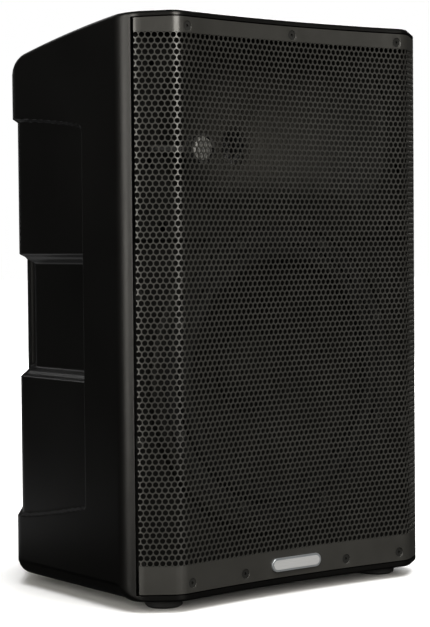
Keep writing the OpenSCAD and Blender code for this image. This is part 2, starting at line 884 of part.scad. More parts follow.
// Knob on its shaft, with a pointer rib on the face
module knob(p, len) {
    rod(p[0], p[1], 224.6, panel_d + 2, 3.05);
    difference() {
        turned(p[0], p[1])
            polygon([[0, panel_d + 1.6], [knob_r, panel_d + 1.6], [knob_r, panel_d + 3],
                [knob_r - 1, panel_d + 4], [knob_r - 1.4, panel_d + len], [0, panel_d + len]]);
        for (a = [0:30:359])
            rod(p[0] + (knob_r + 0.6) * cos(a), p[1] + (knob_r + 0.6) * sin(a),
                panel_d + 4.5, panel_d + 30, 1.5);
    }
    block(p[0] - 0.6, p[0] + 0.6, panel_d + len - 1, panel_d + len + 0.6, p[1], p[1] + knob_r - 1.8);
}

module gain_knob_a() {
    color([0.18, 0.18, 0.18]) knob(gain_a, 13);
}

module gain_knob_b() {
    color([0.18, 0.18, 0.18]) knob(gain_b, 13);
}

module contour_knob() {
    color([0.18, 0.18, 0.18]) knob(contour, 12);
}

module mic_line_button() {
    color([0.70, 0.70, 0.70])
    block(button_at[0] - 3.4, button_at[0] + 3.4, 236, panel_d + 5, button_at[1] - 3.4,
        button_at[1] + 3.4);
}

module status_lights() {
    color([0.3, 0.8, 0.3])
    for (z = [224, 236, 248])
        rod(0, z, 222.6, panel_d + 1, 1.6);
}

module mains_inlet() {
    color([0.06, 0.06, 0.06])
    difference() {
        union() {
            block(inlet_at[0] - 17, inlet_at[0] + 17, panel_d, panel_d + 2.6, inlet_at[1] - 12,
                inlet_at[1] + 12);
            block(inlet_at[0] - 13.8, inlet_at[0] + 13.8, 226, panel_d + 1, inlet_at[1] - 10,
                inlet_at[1] + 10);
        }
        block(inlet_at[0] - 12, inlet_at[0] + 12, 234, 260, inlet_at[1] - 8, inlet_at[1] + 8);
    }
}

module inlet_blades() {
    color([0.78, 0.74, 0.62]) {
        for (s = [-1, 1])
            block(inlet_at[0] + 7 * s - 1, inlet_at[0] + 7 * s + 1, 234, 249, inlet_at[1] - 4.4,
                inlet_at[1]);
        block(inlet_at[0] - 1, inlet_at[0] + 1, 234, 249, inlet_at[1], inlet_at[1] + 5);
    }
}

module power_switch_frame() {
    color([0.06, 0.06, 0.06])
    difference() {
        union() {
            block(switch_at[0] - 12, switch_at[0] + 12, panel_d, panel_d + 2, switch_at[1] - 16,
                switch_at[1] + 16);
            block(switch_at[0] - 9.8, switch_at[0] + 9.8, 228, panel_d + 1, switch_at[1] - 13.8,
                switch_at[1] + 13.8);
        }
        block(switch_at[0] - 8, switch_at[0] + 8, 234, 260, switch_at[1] - 12, switch_at[1] + 12);
        translate([switch_at[0] - 9, yy(246), switch_at[1]])
            rotate([0, 90, 0]) cylinder(h = 18, r = 1.55);
    }
}

// Rocker on its own cross pin, tipped to its off side
module power_rocker() {
    color([0.55, 0.08, 0.07])
    translate([switch_at[0], yy(246), switch_at[1]])
    rotate([-rocker_tip, 0, 0]) {
        rotate([90, 0, 90])
            translate([0, 0, -7.7])
            linear_extrude(15.4)
            polygon([[0, -8], [5.6, -11], [8.2, -10.4], [6.9, 0], [8.2, 10.4], [5.6, 11], [0, 8], [-3, 0]]);
        translate([-8.8, 0, 0])
            rotate([0, 90, 0]) cylinder(h = 17.6, r = 1.5);
    }
}

// ---------- underside and rigging ----------

module pole_cup() {
    color([0.08, 0.08, 0.08])
    translate([0, yy(pole_d), 0])
    difference() {
        union() {
            translate([0, 0, foot_h]) cylinder(h = 2.5, r = 35.6);
            translate([0, 0, foot_h]) cylinder(h = pole_depth + 4, r = 23);
        }
        translate([0, 0, foot_h - 1]) cylinder(h = pole_depth + 1, r = pole_r);
        for (a = [45:90:359])
            translate([cup_screw_r * cos(a), cup_screw_r * sin(a), 0]) cylinder(h = foot_h + 5, r = 2);
    }
}

module pole_cup_screws() {
    color([0.5, 0.5, 0.5])
    for (a = [45:90:359])
        translate([cup_screw_r * cos(a), yy(pole_d) + cup_screw_r * sin(a), foot_h - 1.6]) {
            cylinder(h = 1.6, r = 3.2);
            cylinder(h = 13, r = 1.55);
        }
}

module feet() {
    color([0.05, 0.05, 0.05])
    for (p = foot_at)
        translate([p[0], yy(p[1]), 0])
            rotate_extrude()
            polygon([[3.9, 0], [foot_r - 2, 0], [foot_r - 1, 0.6], [foot_r, 1.6], [foot_r, foot_h],
                [2.2, foot_h], [2.2, 3], [3.9, 3]]);
}

module foot_screws() {
    color([0.6, 0.6, 0.62])
    for (p = foot_at)
        translate([p[0], yy(p[1]), 0]) {
            translate([0, 0, 1]) cylinder(h = 2, r = 3.7);
            translate([0, 0, 1]) cylinder(h = foot_h + 12, r = 2.05);
        }
}

// Insert under its flange, closed by a blanking screw with a hex socket
module rigging_insert() {
    difference() {
        union() {
            translate([0, 0, -22]) cylinder(h = 22, r = 7);
            translate([0, 0, -2]) cylinder(h = 2, r = 10.5);
            cylinder(h = 1.4, r = 6.4);
        }
        translate([0, 0, -2.6]) cylinder(h = 10, r = 2.9, $fn = 6);
    }
}

module rigging_inserts() {
    color([0.80, 0.66, 0.30]) {
        translate([0, yy(insert_top_d), roof(insert_top_d) - 2]) rigging_insert();
        translate([0, yy(insert_low_d), foot_h]) mirror([0, 0, 1]) rigging_insert();
    }
}

// ---------- internal leads ----------

// Point at t on the quadratic curve that rounds off the middle point of three
function bend(a, b, c, t) = (1 - t) * (1 - t) * a + 2 * t * (1 - t) * b + t * t * c;

// Smooth route through the midpoints of a list of [x, depth, z] points
function route(p) = let (n = len(p)) concat(
    [p[0]],
    [for (i = [1:n - 2]) let (
        a = i == 1 ? p[0] * 0.7 + p[1] * 0.3 : (p[i - 1] + p[i]) / 2,
        c = i == n - 2 ? p[n - 1] * 0.7 + p[n - 2] * 0.3 : (p[i] + p[i + 1]) / 2)
        each [for (k = [0:4]) if (k < 4 || i == n - 2) bend(a, p[i], c, k / 4)]],
    [p[n - 1]]);

function unit(v) = v / norm(v);

// A round lead along its route, with eight sides
module lead(points, r) {
    path = [for (q = route(points)) [q[0], yy(q[1]), q[2]]];
    n = len(path);
    rings = [for (i = [0:n - 1])
        let (
            t = unit(path[min(i + 1, n - 1)] - path[max(i - 1, 0)]),
            u = unit(cross(t, [1, 0.2, 0])),
            v = cross(t, u))
        each [for (k = [0:7]) path[i] + r * (u * cos(45 * k) + v * sin(45 * k))]];
    walls = [for (i = [0:n - 2], k = [0:7])
        [8 * i + k, 8 * i + (k + 1) % 8, 8 * (i + 1) + (k + 1) % 8, 8 * (i + 1) + k]];
    polyhedron(rings, concat(
        walls,
        [[for (k = [7:-1:0]) k]],
        [[for (k = [0:7]) 8 * (n - 1) + k]]));
}

module speaker_wires() {
    color([0.60, 0.10, 0.08]) {
        lead([[6.5, 80, 248], [6.5, 110, 248], [12, 150, 246], [20, 180, 205], [22, 192, 172],
            [22, 205.4, 172]], 1.3);
        lead([[30, 130, 326], [30, 150, 326], [33, 170, 260], [38, 188, 200], [38, 192, 173],
            [38, 205.4, 173]], 1.3);
    }
    color([0.08, 0.08, 0.08]) {
        lead([[-6.5, 80, 248], [-6.5, 110, 248], [-12, 150, 246], [-20, 180, 205], [-22, 192, 172],
            [-22, 205.4, 172]], 1.3);
        lead([[-30, 130, 326], [-30, 150, 326], [-33, 170, 260], [-38, 188, 200], [-38, 192, 173],
            [-38, 205.4, 173]], 1.3);
    }
}

// ---------- selection ----------

enclosure();
front_baffle();
baffle_screws();
grille();
grille_screws();
badge();
indicator_housing();
indicator_lens();
indicator_board();
horn_waveguide();
horn_screws();
driver_body();
driver_phase_plug();
driver_diaphragm();
driver_back_cover();
driver_bolts();
woofer_basket();
woofer_trim_ring();
woofer_screws();
woofer_surround();
woofer_cone();
woofer_dust_cap();
voice_coil();
woofer_spider();
top_plate();
woofer_magnet();
woofer_yoke();
woofer_terminals();
port_tube();
rear_panel();
rear_panel_screws();
heat_sink();
main_board();
board_standoffs();
transformer();
capacitors();
input_board();
combo_jack_a();
combo_jack_b();
latch_tab_a();
latch_tab_b();
output_connector();
output_pins();
aux_jack();
gain_knob_a();
gain_knob_b();
contour_knob();
mic_line_button();
status_lights();
mains_inlet();
inlet_blades();
power_switch_frame();
power_rocker();
pole_cup();
pole_cup_screws();
feet();
foot_screws();
rigging_inserts();
damping_pads();
speaker_wires();
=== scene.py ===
import json
import math

import bmesh
import bpy
import numpy as np
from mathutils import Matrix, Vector


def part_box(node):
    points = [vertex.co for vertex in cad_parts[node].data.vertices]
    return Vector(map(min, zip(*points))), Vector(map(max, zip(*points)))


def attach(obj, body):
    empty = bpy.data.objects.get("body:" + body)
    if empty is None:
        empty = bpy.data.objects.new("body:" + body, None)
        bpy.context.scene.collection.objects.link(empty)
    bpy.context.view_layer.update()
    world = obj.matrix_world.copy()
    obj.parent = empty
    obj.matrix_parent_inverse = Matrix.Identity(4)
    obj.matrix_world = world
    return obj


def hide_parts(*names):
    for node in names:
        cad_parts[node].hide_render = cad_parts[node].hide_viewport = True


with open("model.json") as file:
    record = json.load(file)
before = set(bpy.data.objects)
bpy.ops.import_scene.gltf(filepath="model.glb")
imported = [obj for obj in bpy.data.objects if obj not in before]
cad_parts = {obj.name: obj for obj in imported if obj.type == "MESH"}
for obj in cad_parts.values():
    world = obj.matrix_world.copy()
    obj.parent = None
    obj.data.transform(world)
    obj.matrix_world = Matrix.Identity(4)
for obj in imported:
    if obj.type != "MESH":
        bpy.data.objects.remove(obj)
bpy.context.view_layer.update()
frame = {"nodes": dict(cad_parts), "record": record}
NODES = frame["nodes"]

# ---------------------------------------------------------------- cabinet's outline
# Lengths below are in millimetres. d is the depth behind the frontmost point.
MM = 0.001
WIDTH, HEIGHT, DEPTH = 284.0, 425.0, 269.0
HALF_W = WIDTH / 2
HALF_D = DEPTH / 2
FOOT_H = 8.0
WALL = 4.0
FLOOR_T, RIM_GAP = 4.4, 0.9
BEND_X, BOW_SAG = 104.7, 5.6
BOW_R = (BEND_X ** 2 + BOW_SAG ** 2) / (2 * BOW_SAG)
BOW_A = math.asin(BEND_X / BOW_R)
BEND_R, NOSE_R, REAR_R, EDGE_R = 17.0, 24.0, 18.0, 8.0
WING = math.radians(35)
TAPER = math.radians(2)
FACET = math.radians(37)
RIM_A = math.radians(-36)
SHEET_A = math.radians(-41.5)
REAR_D = 167.6
BEND_C = (BEND_X + BEND_R * math.sin(BOW_A), BEND_R * math.cos(BOW_A))
NOSE_CX = HALF_W - NOSE_R
NOSE_C = (NOSE_CX, BEND_C[1] + ((NOSE_CX - BEND_C[0]) * math.sin(WING) - BEND_R + NOSE_R) / math.cos(WING))
REAR_C = (NOSE_C[0] + (NOSE_R - REAR_R - (REAR_D - NOSE_C[1]) * math.sin(TAPER)) / math.cos(TAPER), REAR_D)
EDGE_C = (REAR_C[0] + (REAR_R - EDGE_R - (DEPTH - EDGE_R - REAR_D) * math.sin(FACET)) / math.cos(FACET),
          DEPTH - EDGE_R)
ROOF_SLOPE = 0.07
ROOF_CURVE = (44 - ROOF_SLOPE * DEPTH) / DEPTH ** 2


def roof(d):
    return HEIGHT - ROOF_SLOPE * d - ROOF_CURVE * d * d


def pos(x, d, z):
    return (x * MM, (d - HALF_D) * MM, z * MM)


def smooth(t):
    t = min(max(t, 0.0), 1.0)
    return t * t * (3 - 2 * t)


def arc(c, r, a0, a1, n, skip=0):
    """Points and outward normals on an arc, n steps, leaving out the first skip points."""
    out = []
    for i in range(skip, n + 1):
        a = a0 + (a1 - a0) * i / n
        out.append(((c[0] + r * math.cos(a), c[1] + r * math.sin(a)), (math.cos(a), math.sin(a))))
    return out


def straight(p, q, normal, cuts):
    """Points strictly between p and q, at the fractions in cuts."""
    return [((p[0] + (q[0] - p[0]) * t, p[1] + (q[1] - p[1]) * t), normal) for t in cuts]


def bow(n):
    """Points and outward normals on the bowed front, from the middle to the bend, in n steps."""
    out = []
    for i in range(n + 1):
        a = BOW_A * i / n
        point = (BOW_R * math.sin(a), BOW_SAG - BOW_R + BOW_R * math.cos(a))
        out.append((point, (-math.sin(a), -math.cos(a))))
    return out


def front_curve():
    """Bowed front from the middle to its bend, then the bend."""
    out = bow(24)
    out += arc(BEND_C, BEND_R, -math.pi / 2 - BOW_A, -math.pi / 2 + WING, 12, 1)
    return out


def steps(a, b, coarse, hot):
    """Values from a to b, coarse apart, and finer near each (centre, reach, step) in hot."""
    out, v = [a], a
    while v < b - 1e-6:
        h = coarse
        for c, reach, fine in hot:
            gap = max(abs(v - c) - reach, 0)
            h = min(h, fine + gap * 0.35)
        v = min(v + h, b)
        if b - v < h * 0.4:
            v = b
        out.append(v)
    return out


def turn(n):
    """Angles of n even steps round a circle."""
    return [math.tau * k / n for k in range(n)]


# The side recess and the hand pocket in it: from and to, in depth and in height. The recess runs
# out through the back edge.
POCKET_D, POCKET_Z = (76.6, 258.0), (160, 254)
RECESS_D, RECESS_Z = (76.6, 300.0), (53, 357)
SLOPE_START, SLOPE_END = 85.6, 165
DEEP_END = 254
WALL_START, WALL_TOP, LEAN_FROM = 18, 405, 358
INSERT_D, INSERT_R = 150.0, 11.0


def outline():
    """Right half of the plan outline, from the middle of the front to the middle of the back.

    Each entry is a point and its outward normal."""
    pts = front_curve()
    pts += arc(NOSE_C, NOSE_R, -math.pi / 2 + WING, RIM_A, 6, 0)
    pts += arc(NOSE_C, NOSE_R, RIM_A, TAPER, 12, 1)
    p = pts[-1][0]
    q = (REAR_C[0] + REAR_R * math.cos(TAPER), REAR_C[1] + REAR_R * math.sin(TAPER))
    hot = [(RECESS_D[0] + 1, 3.5, 0.45), (POCKET_D[1] - 9, 13, 1.0), (POCKET_D[0] + 5, 4, 0.9)]
    ds = steps(p[1], q[1], 4.0, hot)[1:-1]
    pts += straight(p, q, (math.cos(TAPER), math.sin(TAPER)), [(d - p[1]) / (q[1] - p[1]) for d in ds])
    pts += arc(REAR_C, REAR_R, TAPER, FACET, 9)
    p = pts[-1][0]
    q = (EDGE_C[0] + EDGE_R * math.cos(FACET), EDGE_C[1] + EDGE_R * math.sin(FACET))
    ds = steps(p[1], q[1], 4.0, hot)[1:-1]
    pts += straight(p, q, (math.cos(FACET), math.sin(FACET)), [(d - p[1]) / (q[1] - p[1]) for d in ds])
    pts += arc(EDGE_C, EDGE_R, FACET, math.pi / 2, 10)
    p = pts[-1][0]
    pts += straight(p, (0, DEPTH), (0, 1), [0.25, 0.5, 0.75])
    pts.append(((0.0, DEPTH), (0.0, 1.0)))
    return pts


# ---------------------------------------------------------------- meshes
def new_object(name, bm, body="cabinet", mat=None, smooth_angle=30, bevel=None, replaces=()):
    mesh = bpy.data.meshes.new(name)
    bmesh.ops.recalc_face_normals(bm, faces=bm.faces)
    for f in bm.faces:
        f.smooth = True
    limit = math.radians(smooth_angle)
    for e in bm.edges:
        if len(e.link_faces) == 2 and e.calc_face_angle(0) > limit:
            e.smooth = False
    bm.to_mesh(mesh)
    bm.free()
    ob = bpy.data.objects.new(name, mesh)
    bpy.context.scene.collection.objects.link(ob)
    if bevel:
        m = ob.modifiers.new("edge", "BEVEL")
        m.width, m.segments, m.limit_method, m.angle_limit = bevel, 2, "ANGLE", math.radians(40)
        m.harden_normals = False
    wn = ob.modifiers.new("normals", "WEIGHTED_NORMAL")
    wn.keep_sharp = True
    if mat:
        ob.data.materials.append(mat)
    for n in replaces:
        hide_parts(n)
    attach(ob, body)
    return ob


def grid_faces(bm, rows, closed):
    """Quads between successive rows of vertices."""
    n = len(rows[0])
    for a, b in zip(rows, rows[1:]):
        for i in range(n if closed else n - 1):
            j = (i + 1) % n
            quad = []
            for v in (a[i], a[j], b[j], b[i]):
                if v not in quad:
                    quad.append(v)
            if len(quad) > 2 and bm.faces.get(quad) is None:
                bm.faces.new(quad)


def loop_edges(bm, ring):
    """Edges of a closed ring of vertices."""
    n = len(ring)
    return [bm.edges.get((ring[k], ring[(k + 1) % n])) for k in range(n)]


# ---- side recess and hand pocket, as a depth below the outer wall
def edge_field(d, z, sides, soften):
    """Signed distance to a rounded convex outline, positive inside. sides are (d, z, inward d, inward z)."""
    v = [(d - a) * na + (z - b) * nb for a, b, na, nb in sides]
    m = min(v)
    return m - soften * math.log(sum(math.exp(-(x - m) / soften) for x in v))


def unit(a, b):
    n = math.hypot(a, b)
    return a / n, b / n


def convex(points):
    """Sides of a convex outline given counter-clockwise in (d, z)."""
    out = []
    for (a, b), (c, e) in zip(points, points[1:] + points[:1]):
        na, nb = unit(-(e - b), c - a)
        out.append((a, b, na, nb))
    return out


RECESS = convex([(RECESS_D[0], 68), (SLOPE_START, 66), (SLOPE_END, RECESS_Z[0]), (RECESS_D[1], RECESS_Z[0]),
                 (RECESS_D[1], RECESS_Z[1]), (SLOPE_END, RECESS_Z[1]), (SLOPE_START, 349), (RECESS_D[0], 346)])
POCKET = convex([(POCKET_D[0], POCKET_Z[0]), (POCKET_D[1], POCKET_Z[0]),
                 (POCKET_D[1], POCKET_Z[1]), (POCKET_D[0], POCKET_Z[1])])


def sunk(d, z, normal):
    """How far the moulding is sunk below the outer wall, on a wall facing along normal."""
    if not (72 < d < DEPTH - 0.1 and 45 < z < 365):
        return 0.0
    f = edge_field(d, z, RECESS, 1.3)
    g = edge_field(d, z, POCKET, 1.3)
    a = 3.8 * smooth((f + 0.3) / 2.2) * smooth((0.97 - normal[1]) / 0.2)
    b = 5.0 * smooth((g + 0.2) / 3.5) + 7.2 * smooth((g - 3.0) / 5.0) * smooth((DEEP_END - d) / 45)
    return a + b


def top_round(d):
    """Radius of the roof's edge: small at the front, largest at the rear facets."""
    return 3.0 + 10.0 * smooth((d - 158) / 25) - 6.0 * smooth((d - 205) / 50)


def low_round(d):
    """Radius of the floor's edge."""
    return 1.6 + 10.4 * smooth((d - 13) / 26)


def shell():
    """The moulded cabinet: rows of points up the walls and over the roof, then its openings."""
    half = outline()
    cols = half + [((-p[0], p[1]), (-q[0], q[1])) for p, q in reversed(half[1:-1])]
    n = len(cols)
    ledges = [(RECESS_Z[0], 9, 0.9), (68, 6, 1.2), (POCKET_Z[0], 7, 0.6), (POCKET_Z[1], 7, 0.6),
              (349, 6, 1.2), (RECESS_Z[1], 8, 0.9), (40, 1, 3), (290, 1, 3)]
    bases = steps(WALL_START, WALL_TOP, 5.0, ledges)
    bm = bmesh.new()
    rows = []

    def add(fn):
        rows.append([bm.verts.new(pos(*fn(p, q))) for p, q in cols])

    def inset(p, q, t):
        return p[0] - q[0] * t, p[1] - q[1] * t

    # floor edge
    for k in range(0, 7):
        a = math.pi / 2 * k / 6

        def low(p, q, a=a):
            r = low_round(p[1])
            x, d = inset(p, q, r * (1 - math.sin(a)))
            return x, d, FOOT_H + r * (1 - math.cos(a))
        add(low)
    low_rows = len(rows)
    for o in (FLOOR_T, 9.0):
        add(lambda p, q, o=o: (p[0], p[1], FOOT_H + max(o, low_round(p[1]))))
    open_low = low_rows
    for b in bases:
        w = min(max((b - LEAN_FROM) / (WALL_TOP - LEAN_FROM), 0.0), 1.0)

        def wall(p, q, b=b, w=w):
            z = b + w * (roof(p[1]) - HEIGHT)
            s = sunk(p[1], z, q)
            return p[0] - q[0] * s, p[1] - q[1] * s, z
        add(wall)
    for o in (16, 12, 8, 4):
        add(lambda p, q, o=o: (p[0], p[1], roof(p[1]) - max(o, top_round(p[1]))))
    open_high = len(rows) - 1
    for k in range(0, 7):
        a = math.pi / 2 * k / 6

        def high(p, q, a=a):
            r = top_round(p[1])
            x, d = inset(p, q, r * (1 - math.cos(a)))
            return x, d, roof(d) - r * (1 - math.sin(a))
        add(high)
    # roof, down to the rim round the rigging insert
    cd, cr = INSERT_D, INSERT_R
    top = [v.co.copy() for v in rows[-1]]
    for k in range(1, 13):
        t = k / 12
        ring = []
        for co in top:
            x, d = co.x / MM, co.y / MM + HALF_D
            a = math.atan2(d - cd, x)
            cx, cy = cr * math.cos(a), cd + cr * math.sin(a)
            x2, d2 = x + (cx - x) * t, d + (cy - d) * t
            ring.append(bm.verts.new(pos(x2, d2, roof(d2))))
        rows.append(ring)
    last = rows[-1]
    seat = roof(INSERT_D)
    for r, z in ((INSERT_R, seat - 3.9), (7.2, seat - 3.9), (7.2, seat - 20)):
        ring = []
        for v in last:
            a = math.atan2(v.co.y / MM + HALF_D - cd, v.co.x / MM)
            ring.append(bm.verts.new(pos(r * math.cos(a), cd + r * math.sin(a), z)))
        rows.append(ring)
    grid_faces(bm, rows, True)
    # front opening
    rim = [i for i, (p, _) in enumerate(half)
           if abs(math.atan2(p[1] - NOSE_C[1], p[0] - NOSE_C[0]) - RIM_A) < 1e-6][0]
    front_cols = [i % n for i in range(-rim, rim + 1)]
    doomed = set()
    for j in range(open_low, open_high):
        for i in front_cols[:-1]:
            k = (i + 1) % n
            f = bm.faces.get([rows[j][i], rows[j][k], rows[j + 1][k], rows[j + 1][i]])
            if f:
                doomed.add(f)
    # the flat back between the rounded edges is filled again round the well and the port's hole
    flat = [i for i, (p, q) in enumerate(cols) if p[1] > DEPTH - 1e-6]
    z_lo, z_hi = 22.0, 360.0
    js = [j for j in range(len(rows)) if z_lo <= rows[j][flat[0]].co.z / MM <= z_hi]
    j0, j1 = js[0], js[-1]
    for j in range(j0, j1):
        for i in flat[:-1]:
            f = bm.faces.get([rows[j][i], rows[j][i + 1], rows[j + 1][i + 1], rows[j + 1][i]])
            if f:
                doomed.add(f)
    bmesh.ops.delete(bm, geom=list(doomed), context="FACES")
    # front return
    inner_x = NOSE_C[0] + (NOSE_R - WALL) * math.cos(RIM_A)
    inner_d = NOSE_C[1] + (NOSE_R - WALL) * math.sin(RIM_A)
    loop = [(rows[open_low][i], i) for i in front_cols]
    loop += [(rows[j][rim], rim) for j in range(open_low + 1, open_high)]
    loop += [(rows[open_high][i], i) for i in reversed(front_cols)]
    loop += [(rows[j][-rim % n], -rim % n) for j in range(open_high - 1, open_low, -1)]
    ring0 = [v for v, _ in loop]
    ring1, ring2 = [], []
    for v, i in loop:
        x, d, z = v.co.x / MM, v.co.y / MM + HALF_D, v.co.z / MM
        x1 = math.copysign(min(abs(x), inner_x), x)
        d1 = max(d + 2, inner_d) if abs(x) > inner_x else d + 2
        ring1.append(bm.verts.new(pos(x1, d1, z)))
        ring2.append(bm.verts.new(pos(x1, 34, z)))
    grid_faces(bm, [ring0, ring1, ring2], True)
    # floor plate
    floor_loop = rows[0]
    floor_edges = loop_edges(bm, floor_loop)
    cuts = []
    # the pole cup's seat, then the lower rigging insert's: where, rim and hole radius, how deep
    for d, r, inner_r, deep in ((118.0, 36.0, 23.1, 2.6), (210.0, INSERT_R, 7.0, 2.0)):
        ring = [bm.verts.new(pos(r * math.cos(a), d + r * math.sin(a), FOOT_H)) for a in turn(48)]
        up = [bm.verts.new(v.co + Vector((0, 0, deep * MM))) for v in ring]
        inn = [bm.verts.new(pos(inner_r * math.cos(a), d + inner_r * math.sin(a), FOOT_H + deep))
               for a in turn(48)]
        grid_faces(bm, [ring, up, inn], True)
        cuts += loop_edges(bm, ring)
    bmesh.ops.triangle_fill(bm, use_beauty=True, edges=floor_edges + cuts, normal=(0, 0, -1))
    # back plate with its well and port hole
    a, b = flat[0], flat[-1]
    back_edges = [bm.edges.get((rows[j0][i], rows[j0][i + 1])) for i in flat[:-1]]
    back_edges += [bm.edges.get((rows[j1][i], rows[j1][i + 1])) for i in flat[:-1]]
    back_edges += [bm.edges.get((rows[j][i], rows[j + 1][i])) for j in range(j0, j1) for i in (a, b)]
    well = rounded_loop(60, 40, 290, 4.0)
    ring = [bm.verts.new(pos(x, DEPTH, z)) for x, z in well]
    well1 = [bm.verts.new(pos(x, DEPTH - 3, z)) for x, z in rounded_loop(59.8, 40.2, 289.8, 3.8)]
    well2 = [bm.verts.new(pos(x, 250.2, z)) for x, z in rounded_loop(59.6, 40.4, 289.6, 3.6)]
    well3 = [bm.verts.new(pos(x, 249.8, z)) for x, z in rounded_loop(52, 48, 282, 2.0)]
    well4 = [bm.verts.new(pos(x, 246, z)) for x, z in rounded_loop(52, 48, 282, 2.0)]
    grid_faces(bm, [ring, well1, well2, well3, well4], True)
    back_edges += loop_edges(bm, ring)
    pr = 26.9
    port = [bm.verts.new(pos(pr * math.cos(t), DEPTH, 330 + pr * math.sin(t))) for t in turn(64)]
    port2 = [bm.verts.new(v.co - Vector((0, 8 * MM, 0))) for v in port]
    grid_faces(bm, [port, port2], True)
    back_edges += loop_edges(bm, port)
    bmesh.ops.triangle_fill(bm, use_beauty=True, edges=back_edges, normal=(0, 1, 0))
    bmesh.ops.remove_doubles(bm, verts=bm.verts, dist=0.00002)
    bmesh.ops.dissolve_degenerate(bm, dist=0.00001, edges=bm.edges)
    return new_object("cabinet_shell", bm, mat=MAT["cabinet_plastic"],
                      smooth_angle=38, bevel=0.0005, replaces=["enclosure"])


def rounded_loop(hx, z0, z1, r, seg=6):
    """Points of a rounded oblong, 2 * hx wide, from z0 up to z1."""
    out = []
    for cx, cz, a0 in ((hx - r, z1 - r, 0), (-hx + r, z1 - r, 90),
                       (-hx + r, z0 + r, 180), (hx - r, z0 + r, 270)):
        for k in range(seg + 1):
            a = math.radians(a0 + 90 * k / seg)
            out.append((cx + r * math.cos(a), cz + r * math.sin(a)))
    return out


# ---------------------------------------------------------------- perforated sheet
PITCH, ROW, HOLE_R = 4.456, 3.998, 1.92
N_ROWS, MIDDLE_Z = 94, 221.15
SHEET_T = 0.8
GRILLE_LOW = FOOT_H + FLOOR_T + RIM_GAP
TOP_SCREWS = (-101.5, 0, 101.5)
LOW_SCREWS = (-101.5, -49.5, 49.5, 101.5)
SCREW_Z = (20.0, HEIGHT - 11.4)
SEAM = 40.0


def sheet_curve():
    """The sheet's plan curve by arc length from the middle: arrays of s, point and outward normal."""
    pts = bow(120)
    pts += arc(BEND_C, BEND_R, -math.pi / 2 - BOW_A, -math.pi / 2 + WING, 40, 1)
    pts += arc(NOSE_C, NOSE_R, -math.pi / 2 + WING, SHEET_A, 30, 0)
    p = np.array([a for a, _ in pts])
    q = np.array([b for _, b in pts])
    s = np.concatenate([[0], np.cumsum(np.hypot(*np.diff(p, axis=0).T))])
    keep = np.concatenate([[True], np.diff(s) > 1e-9])
    return s[keep], p[keep], q[keep]


S_LEN, S_P, S_N = sheet_curve()
S_MAX = float(S_LEN[-1])


def on_sheet(s, t):
    """Point at arc length s and t behind the sheet's face."""
    a = min(abs(s), S_MAX)
    x, d = np.interp(a, S_LEN, S_P[:, 0]), np.interp(a, S_LEN, S_P[:, 1])
    nx, nd = np.interp(a, S_LEN, S_N[:, 0]), np.interp(a, S_LEN, S_N[:, 1])
    m = math.hypot(nx, nd)
    x, d = x - nx / m * t, d - nd / m * t
    return (x if s >= 0 else -x), d


def sheet_top(d):
    return roof(d) - WALL - RIM_GAP


def grille_part(s0, s1):
    """One upright strip of the flat sheet between two arc lengths, with its holes."""
    bm = bmesh.new()
    corner = (ROW ** 2 - (PITCH / 2) ** 2) / (2 * ROW)
    up = ROW - corner
    cache = {}

    def shared(s, z):
        key = (round(s, 3), round(z, 3))
        if key not in cache:
            cache[key] = bm.verts.new((s, 0, z))
        return cache[key]

    w, mid = PITCH / 2, (corner + up) / 2
    edge = [(w, -corner), (w, 0), (w, corner), (w / 2, mid), (0, up), (-w / 2, mid),
            (-w, corner), (-w, 0), (-w, -corner), (-w / 2, -mid), (0, -up), (w / 2, -mid)]
    for j in range(N_ROWS):
        z = MIDDLE_Z + (j - (N_ROWS - 1) / 2) * ROW
        off = PITCH / 2 if j % 2 else 0.0
        for k in range(-40, 41):
            s = off + k * PITCH
            if not (s0 - (PITCH if s0 < -SEAM - 1 else 0) <= s < s1 + (PITCH if s1 > SEAM + 1 else 0)):
                continue
            outer = [shared(s + a, z + b) for a, b in edge]
            inner = [bm.verts.new((s + HOLE_R * math.cos(t), 0, z + HOLE_R * math.sin(t)))
                     for t in [math.atan2(b, a) for a, b in edge]]
            for m in range(12):
                bm.faces.new((outer[m], outer[(m + 1) % 12], inner[(m + 1) % 12], inner[m]))
    # plain bands above and below the lattice
    z_hi = MIDDLE_Z + (N_ROWS - 1) / 2 * ROW
    z_lo = MIDDLE_Z - (N_ROWS - 1) / 2 * ROW
    for base, sign, far in ((z_hi, 1, HEIGHT), (z_lo, -1, GRILLE_LOW)):
        zig = sorted((v for key, v in cache.items() if (key[1] - base) * sign > corner - 0.01 and
                      len(v.link_faces) < 4 and (key[1] - base) * sign > 0), key=lambda v: v.co.x)
        band = [bm.verts.new((v.co.x, 0, base + sign * (up + 0.1))) for v in zig]
        rim = [bm.verts.new((v.co.x, 0, far)) for v in zig]
        for a, b in zip((zig, band), (band, rim)):
            for i in range(len(zig) - 1):
                bm.faces.new((a[i], a[i + 1], b[i + 1], b[i]))
    for cut, normal in ((s0, (-1, 0, 0)), (s1, (1, 0, 0))):
        if abs(cut) < SEAM + 1:
            continue
        bmesh.ops.bisect_plane(bm, geom=bm.verts[:] + bm.edges[:] + bm.faces[:], dist=1e-5,
                               plane_co=(cut, 0, 0), plane_no=normal, clear_outer=True)
    # screw holes, as a dimple with its hole
    for xs, z in ((LOW_SCREWS, SCREW_Z[0]), (TOP_SCREWS, SCREW_Z[1])):
        for x in xs:
            s = float(np.interp(abs(x), S_P[:, 0], S_LEN)) * (1 if x >= 0 else -1)
            if s0 + 6 < s < s1 - 6:
                dimple(bm, s, z)
    return bm


